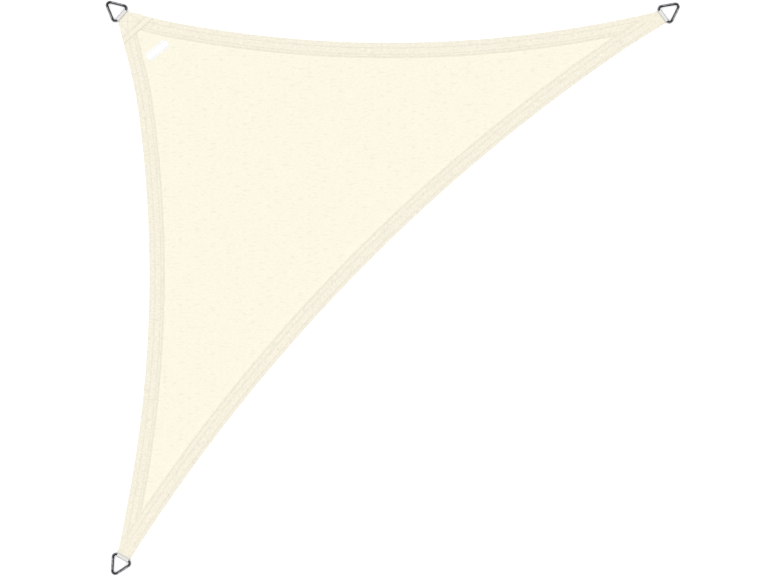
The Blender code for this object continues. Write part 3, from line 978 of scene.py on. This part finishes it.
def buildLoop(corner, material):
    points, ahead, run = spacedStrap()
    normal = -leftOf(ahead)  # out of the wrap
    half, thick, count = webbing["width"] / 2, webbing["thick"] / 2, webbing["ribs"]
    aside = np.linspace(-half, half, 5 * count + 1)
    aside[0], aside[-1] = -half + webbing["rimInset"], half - webbing["rimInset"]
    edge = dome((half - np.abs(aside)) / webbing["selvedge"])
    share = (aside + half) / (2 * half) * count
    rib = np.minimum(np.floor(share), count - 1)
    crown = np.sin(math.pi * (share - rib)) ** webbing["ribRoundness"]
    between, rise = webbing["ribHeights"]
    wide = {side: min(half, reachAside(corner, side) - sail["sideWall"] - sail["clearance"]) / half
            for side in (-1, 1)}
    floats = 0.5 + 0.5 * np.cos(2 * math.pi * (run[:, None] / webbing["floatPitch"] + 0.5 * rib))
    sunk = webbing["ribDepth"] * (1 - crown * (between + rise * floats))
    inTail = ease((endBack - points[:, :1]) / sail["pocketDepth"])
    narrow = np.where(aside > 0, 1 + inTail * (wide[1] - 1), 1 + inTail * (wide[-1] - 1))
    faces = []
    for way in (1, -1):
        out = way * (thick - sunk) * np.maximum(edge, webbing["thinEdge"])
        x, z = (points[:, [k]] + normal[:, [k]] * out for k in (0, 1))
        faces.append(np.dstack((outOfCorner(corner, x, aside * narrow), z)))
    marks = np.dstack((*np.broadcast_arrays(aside, run[:, None]), sunk / webbing["ribDepth"]))
    # painted shade on the side of the wrap that faces the ring's eye
    start, full = webbing["shadeFacing"]
    rubbed = np.repeat(ease((normal[:, :1] - start) / (full - start)), 2 * len(aside), axis=1)
    piece = newPiece("webbingLoop" + corner.capitalize(), *skin(wrapped(*faces)), material, "woven_webbing",
                     {"strapPlace": wrapped(marks, marks), "rubbed": rubbed})
    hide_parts("loop_" + corner)
    return piece, run[-1]


# Woven polyester webbing, left undyed: matt and ribbed along its length. The threads that go under are a
# little greyer, as painted shade, and so is the wrap where it turns down towards the ring's eye.
def wovenPolyesterWebbing():
    material, add, finish = newMaterial("wovenPolyesterWebbing", {
        "Roughness": webbing["roughness"], "IOR": 1.57})
    place = add("Attribute", {"attribute_name": "strapPlace"}, "Vector")
    sunk = add("SeparateXYZ", {0: place}, 2)
    across, along = webbing["fibreSize"]
    yarn = add("Mapping", {"Vector": place, "Scale": (1 / across, 1 / along, 1)})
    fuzz = add("TexNoise", {"Vector": yarn, "Scale": 1.0, "Detail": 2.0})
    # painted shade where the threads sink between the ribs, made a little uneven by the fibres
    mixed = add("Math", {"operation": "MULTIPLY_ADD", "use_clamp": True, 0: fuzz, 1: 0.5, 2: sunk})
    deep = add("Math", {"operation": "SUBTRACT", "use_clamp": True, 0: mixed, 1: 0.25})
    ribShaded = add("Mix", {"data_type": "RGBA", 0: deep, 6: webbing["colour"], 7: webbing["shade"]}, 2)
    # painted shade where the wrap faces the ring's eye
    rubbed = add("Attribute", {"attribute_name": "rubbed"}, "Fac")
    uneven = add("MapRange", {"Value": fuzz, "From Min": 0.2, "From Max": 0.6, "To Min": 0.7})
    shadeMask = add("Math", {"operation": "MULTIPLY", 0: rubbed, 1: uneven})
    colour = add("Mix", {"data_type": "RGBA", 0: shadeMask, 6: ribShaded, 7: webbing["rubbed"]}, 2)
    bump = add("Bump", {"Height": fuzz, "Strength": 0.7, "Distance": 0.00012})
    finish({"Base Color": colour, "Normal": bump})
    return material


webbingMaterial = wovenPolyesterWebbing()
loops = {}
for corner in corners:
    loops[corner], strapLength = buildLoop(corner, webbingMaterial)
print("webbing loops:", sum(len(loop.data.polygons) for loop in loops.values()), "faces, strap",
      round(strapLength, 4))


def wirePath():  # the wire's middle line, the way out of the ring at each place, and how bent it is there
    sharp = [np.array(p) for p in ((0, -wire["base"] / 2), (wire["height"], 0), (0, wire["base"] / 2))]
    turns = []
    for i, tip in enumerate(sharp):
        back, on = unit(sharp[i - 1] - tip), unit(sharp[(i + 1) % 3] - tip)
        half = math.acos(back @ on) / 2
        middle = tip + unit(back + on) * wire["bend"] / math.sin(half)
        first = tip + back * wire["bend"] / math.tan(half) - middle
        start = math.atan2(first[1], first[0])
        angle = start + (math.pi - 2 * half) * np.arange(wire["bendSteps"] + 1) / wire["bendSteps"]
        out = np.column_stack((np.cos(angle), np.sin(angle)))
        turns.append((middle + wire["bend"] * out, out))
    points, outs, bent = [], [], []
    for i, (line, out) in enumerate(turns):
        start, end = line[-1], turns[(i + 1) % 3][0][0]
        count = round(np.hypot(*(end - start)) / wire["straightStep"])
        share = np.arange(1, count) / count
        points += [line, start + share[:, None] * (end - start)]
        outs += [out, np.repeat(out[-1:], count - 1, axis=0)]
        near, far = (1 - ease(way * count * wire["straightStep"] / wire["bendFade"])
                     for way in (share, 1 - share))
        bent += [np.ones(len(line)), np.maximum(near, far)]
    return np.concatenate(points), np.concatenate(outs), np.concatenate(bent)


def buildRing(corner, material):
    line, out, bent = wirePath()
    sides, radius = wire["sides"], wire["radius"]
    angle = 2 * math.pi * np.arange(sides)[::-1] / sides
    rings, marks = np.zeros((2, len(line), sides, 3))
    rings[:, :, :2] = line[:, None] + radius * np.cos(angle)[None, :, None] * out[:, None]
    rings[:, :, 2] = radius * np.sin(angle)[None]
    marks[:, :, 0] = runAlong(line)[:, None]
    marks[:, :, 1] = angle[None] * radius
    # painted light: bright on the wire's outer side, painted shade on its inner side and in the bends
    bendDarker, bendDimmer = wire["bendShade"]
    litSide = np.cos(angle)[None] + wire["litReach"] - bendDarker * bent[:, None]
    polished = ease(litSide / wire["litFade"]) * (1 - bendDimmer * bent[:, None])
    inset = wire["bend"] / math.sin(math.atan(wire["base"] / 2 / wire["height"])) - wire["bend"]
    tilt = math.asin((wrapRadius - radius) / (wire["height"] - inset))  # the tip rests on the floor
    turn = Matrix.Rotation(math.radians(corners[corner]["axis"]), 4, "Z")
    place = Matrix.Translation((*corners[corner]["bar"], wrapRadius)) @ turn @ Matrix.Rotation(tilt, 4, "Y")
    verts = rings.reshape(-1, 3) @ np.array(place.to_3x3()).T + np.array(place.translation)
    piece = newPiece("ring" + corner.capitalize(), verts, tube(len(line), sides, True), material,
                     "bent_steel_wire", {"wirePlace": marks, "polished": polished})
    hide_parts("ring_" + corner)
    return piece


# Stainless steel wire, bent cold. Its outer side is painted bright, as a painted reflection, with short
# marks across the wire. Its inner side and the bends are painted dark, as painted shade.
def bentStainlessWire():
    material, add, finish = newMaterial("bentStainlessWire", {"Metallic": 1.0})
    place = add("Attribute", {"attribute_name": "wirePlace"}, "Vector")
    polished = add("Attribute", {"attribute_name": "polished"}, "Fac")
    noises = []
    for (along, around), roughness in ((wire["markSize"], 0.65), (wire["lineSize"], 0.5)):
        scaled = add("Mapping", {"Vector": place, "Scale": (1 / along, 1 / around, 1)})
        noises.append(add("TexNoise", {"Vector": scaled, "Scale": 1.0, "Detail": 3.0,
                                       "Roughness": roughness}))
    mask = add("MapRange", {"Value": noises[0], "From Min": 0.45, "From Max": 0.62})
    bright = add("Mix", {"data_type": "RGBA", 0: mask, 6: wire["outer"], 7: wire["mark"]}, 2)
    colour = add("Mix", {"data_type": "RGBA", 0: polished, 6: wire["inner"], 7: bright}, 2)
    gloss = add("MapRange", {"Value": polished, "To Min": wire["dullRoughness"],
                             "To Max": wire["roughness"]})
    bump = add("Bump", {"Height": noises[1], "Strength": 0.5, "Distance": 0.00003})
    finish({"Base Color": colour, "Roughness": gloss, "Normal": bump})
    return material


steelMaterial = bentStainlessWire()
rings = {corner: buildRing(corner, steelMaterial) for corner in corners}
print("rings:", sum(len(ring.data.polygons) for ring in rings.values()), "faces")


tag = {
    "size": (0.090, 0.032),
    "thick": 0.0007,
    "gap": 0.00025,
    "foldedEnd": 0.006,  # both ends are turned under, so they stand a little higher
    "foldRise": 0.0004,
    "foldStep": 0.0012,  # over this length
    "middle": (-0.8239, 0.8320),
    "turn": 38.0,
    "sewnIn": 0.0022,  # the border of stitches, in from the tag's edge
    "sunk": 0.00022,
    "sunkWidth": 0.0006,
    "curl": 0.00018,
    "curlReach": 0.002,  # in from its edge
    "curlSize": 0.016,
    "edgeRadius": 0.0005,
    "edgeThick": 0.3,  # as a share of its thickness
    "rimInsets": (0, 0.00012, 0.0004, 0.0010, 0.0016, 0.0022, 0.0028),  # of its mesh's outer rows
    "rimWidth": 0.004,
    "colour": "#F5F6F7",
    "stripe": "#B4B8B8",
    "stripePlace": 0.0112,  # two plain stripes, this far from the middle line
    "stripeWidth": 0.0012,
    "yarnPitch": 0.0008,  # really about 0.3 mm
    "weaveShade": 0.06,
}


def tagPlace(a, b):
    return placeAt(tag["middle"], tag["turn"], a, b)


def tagHeights(a, b):
    halfLong, halfWide = tag["size"][0] / 2, tag["size"][1] / 2
    rim = np.minimum(halfLong - np.abs(a), halfWide - np.abs(b))
    folded = tag["foldRise"] * ease((np.abs(a) - halfLong + tag["foldedEnd"]) / tag["foldStep"])
    sunk = tag["sunk"] * gauss(rim - tag["sewnIn"], tag["sunkWidth"])
    wave = 1 + ripple(a + 2 * b, tag["curlSize"], 0.7)
    curl = tag["curl"] * ease(1 - rim / tag["curlReach"]) * wave
    low = clothHeights(tagPlace(a, b))[0] + tag["gap"] + curl
    thin = tag["edgeThick"]
    return low + (tag["thick"] + folded - sunk) * (thin + (1 - thin) * dome(rim / tag["edgeRadius"])), low


def buildTag(material):
    def spaced(half, count):  # from side to side, close together near both
        near, inner = half - np.array(tag["rimInsets"]), half - tag["rimWidth"]
        return np.unique([*near, *-near, *np.linspace(-inner, inner, count)])

    long, wide = (spaced(size / 2, count) for size, count in zip(tag["size"], (76, 22)))
    along, across = np.meshgrid(long, wide, indexing="ij")
    flat = tagPlace(along, across)
    heights = tagHeights(along.ravel(), across.ravel())
    sides = [np.dstack((flat, height.reshape(along.shape))) for height in heights]
    marks = [np.dstack((along, across, np.full(along.shape, upper))) for upper in (1, 0)]
    piece = newPiece("labelTag", *skin(wrapped(*sides)), material, "woven_tag",
                     {"tagPlace": wrapped(*marks)})
    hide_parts("label_tag")
    return piece


# Woven polyester ribbon: fine, bright and slightly silky, with a plain grey stripe woven in along both
# sides.
def wovenPolyesterRibbon():
    material, add, finish = newMaterial("wovenPolyesterRibbon", {"Roughness": 0.45, "IOR": 1.57})
    place = add("Attribute", {"attribute_name": "tagPlace"}, "Vector")
    across = add("SeparateXYZ", {0: place}, 1)
    aside = add("Math", {"operation": "ABSOLUTE", 0: across})
    stripe = add("Math", {"operation": "COMPARE", 0: aside, 1: tag["stripePlace"],
                          2: tag["stripeWidth"] / 2})
    dyed = add("Mix", {"data_type": "RGBA", 0: stripe, 6: tag["colour"], 7: tag["stripe"]}, 2)
    weave = add("TexBrick", {
        "Vector": place, "Scale": 1000.0, "Brick Width": tag["yarnPitch"] * 2000,
        "Row Height": tag["yarnPitch"] * 1000, "Mortar Size": 0.16, "Mortar Smooth": 1.0}, "Fac")
    light = add("MapRange", {"Value": weave, "To Min": 1.0, "To Max": 1 - tag["weaveShade"]})
    colour = add("HueSaturation", {"Color": dyed, "Value": light})
    bump = add("Bump", {"Height": weave, "Strength": 0.8, "Distance": 0.0001, "invert": True})
    finish({"Base Color": colour, "Normal": bump})
    return material


def sewTag():
    long, wide = (side / 2 - tag["sewnIn"] for side in tag["size"])
    tips = [tagPlace(a, b) for a, b in ((-long, -wide), (long, -wide), (long, wide), (-long, wide))]
    lines = [lineStitches(tips[k], tips[(k + 1) % 4], stitch["tagPitch"]) for k in range(4)]

    def surface(points):
        return tagHeights(*seenFrom(tag["middle"], tag["turn"], points))

    return threadMesh("tagStitches", lines, surface, threadMaterial, "woven_tag", stitch["tagLength"],
                      stitch["tagThreadRadius"], 30)


labelTag = buildTag(wovenPolyesterRibbon())
tagStitches = sewTag()
print("tag:", len(labelTag.data.polygons), "faces")


def declareSheets():  # works out the outlines of the cloth and of the patch, and keeps neither
    outline = clothRing()[0]
    outline = patchRing()


declareSheets()


studio = {
    "viewWidth": 2.730,  # how much of the floor the picture spans
    "viewCentre": (-0.00945, -0.0161),
    "cameraHeight": 12.0,
    "sensor": 36.0,
    "zenith": 1.57,  # a large soft light overhead, in a room that is dimmer towards the horizon
    "horizon": 0.22,
    "sunStrength": 0.26,
    "sunAngle": 30.0,  # degrees across, so its shadows have no edges
    "sunFrom": (-0.3, 0.25, 0.92),
    "floorColour": "#FBFBFB",
    "floorGlow": 0.10,
    "floorSize": 60.0,
    "floorDrop": 0.0006,
}


def buildStudio():
    scene = bpy.context.scene
    scene.view_settings.view_transform = "Standard"
    lens = bpy.data.cameras.new("camera")
    lens.sensor_width = studio["sensor"]
    lens.lens = studio["sensor"] * studio["cameraHeight"] / studio["viewWidth"]
    lens.clip_start = 0.1
    lens.clip_end = 200.0
    scene.camera = newObject("camera", lens)
    scene.camera.location = (*studio["viewCentre"], studio["cameraHeight"])
    scene.world = bpy.data.worlds.new("studio")
    scene.world.use_nodes = True
    tree = scene.world.node_tree
    view = addNode(tree, "TexCoord", {}, "Generated")
    height = addNode(tree, "SeparateXYZ", {0: view}, 2)
    glow = addNode(tree, "MapRange", {"Value": height, "To Min": studio["horizon"],
                                      "To Max": studio["zenith"]})
    setNode(tree, tree.nodes["Background"], {"Color": "#FFFFFF", "Strength": glow})
    sun = bpy.data.lights.new("softLight", "SUN")
    sun.energy = studio["sunStrength"]
    sun.angle = math.radians(studio["sunAngle"])
    light = newObject("softLight", sun)
    light.rotation_euler = Vector(studio["sunFrom"]).to_track_quat("Z", "Y").to_euler()


def buildFloor():
    half, low = studio["floorSize"] / 2, -studio["floorDrop"]
    mesh = bpy.data.meshes.new("floor")
    mesh.from_pydata([(-half, -half, low), (half, -half, low), (half, half, low), (-half, half, low)], [],
                     [(0, 1, 2, 3)])
    # opal acrylic, lit a little from below as on a light table: even and matt, with pale shadows
    mesh.materials.append(newMaterial("opalAcrylic", {
        "Base Color": studio["floorColour"], "Roughness": 0.9, "Specular IOR Level": 0.1,
        "Emission Color": "#FFFFFF", "Emission Strength": studio["floorGlow"]})[0])
    floor = newObject("floor", mesh)


buildStudio()
buildFloor()
print("studio ready")
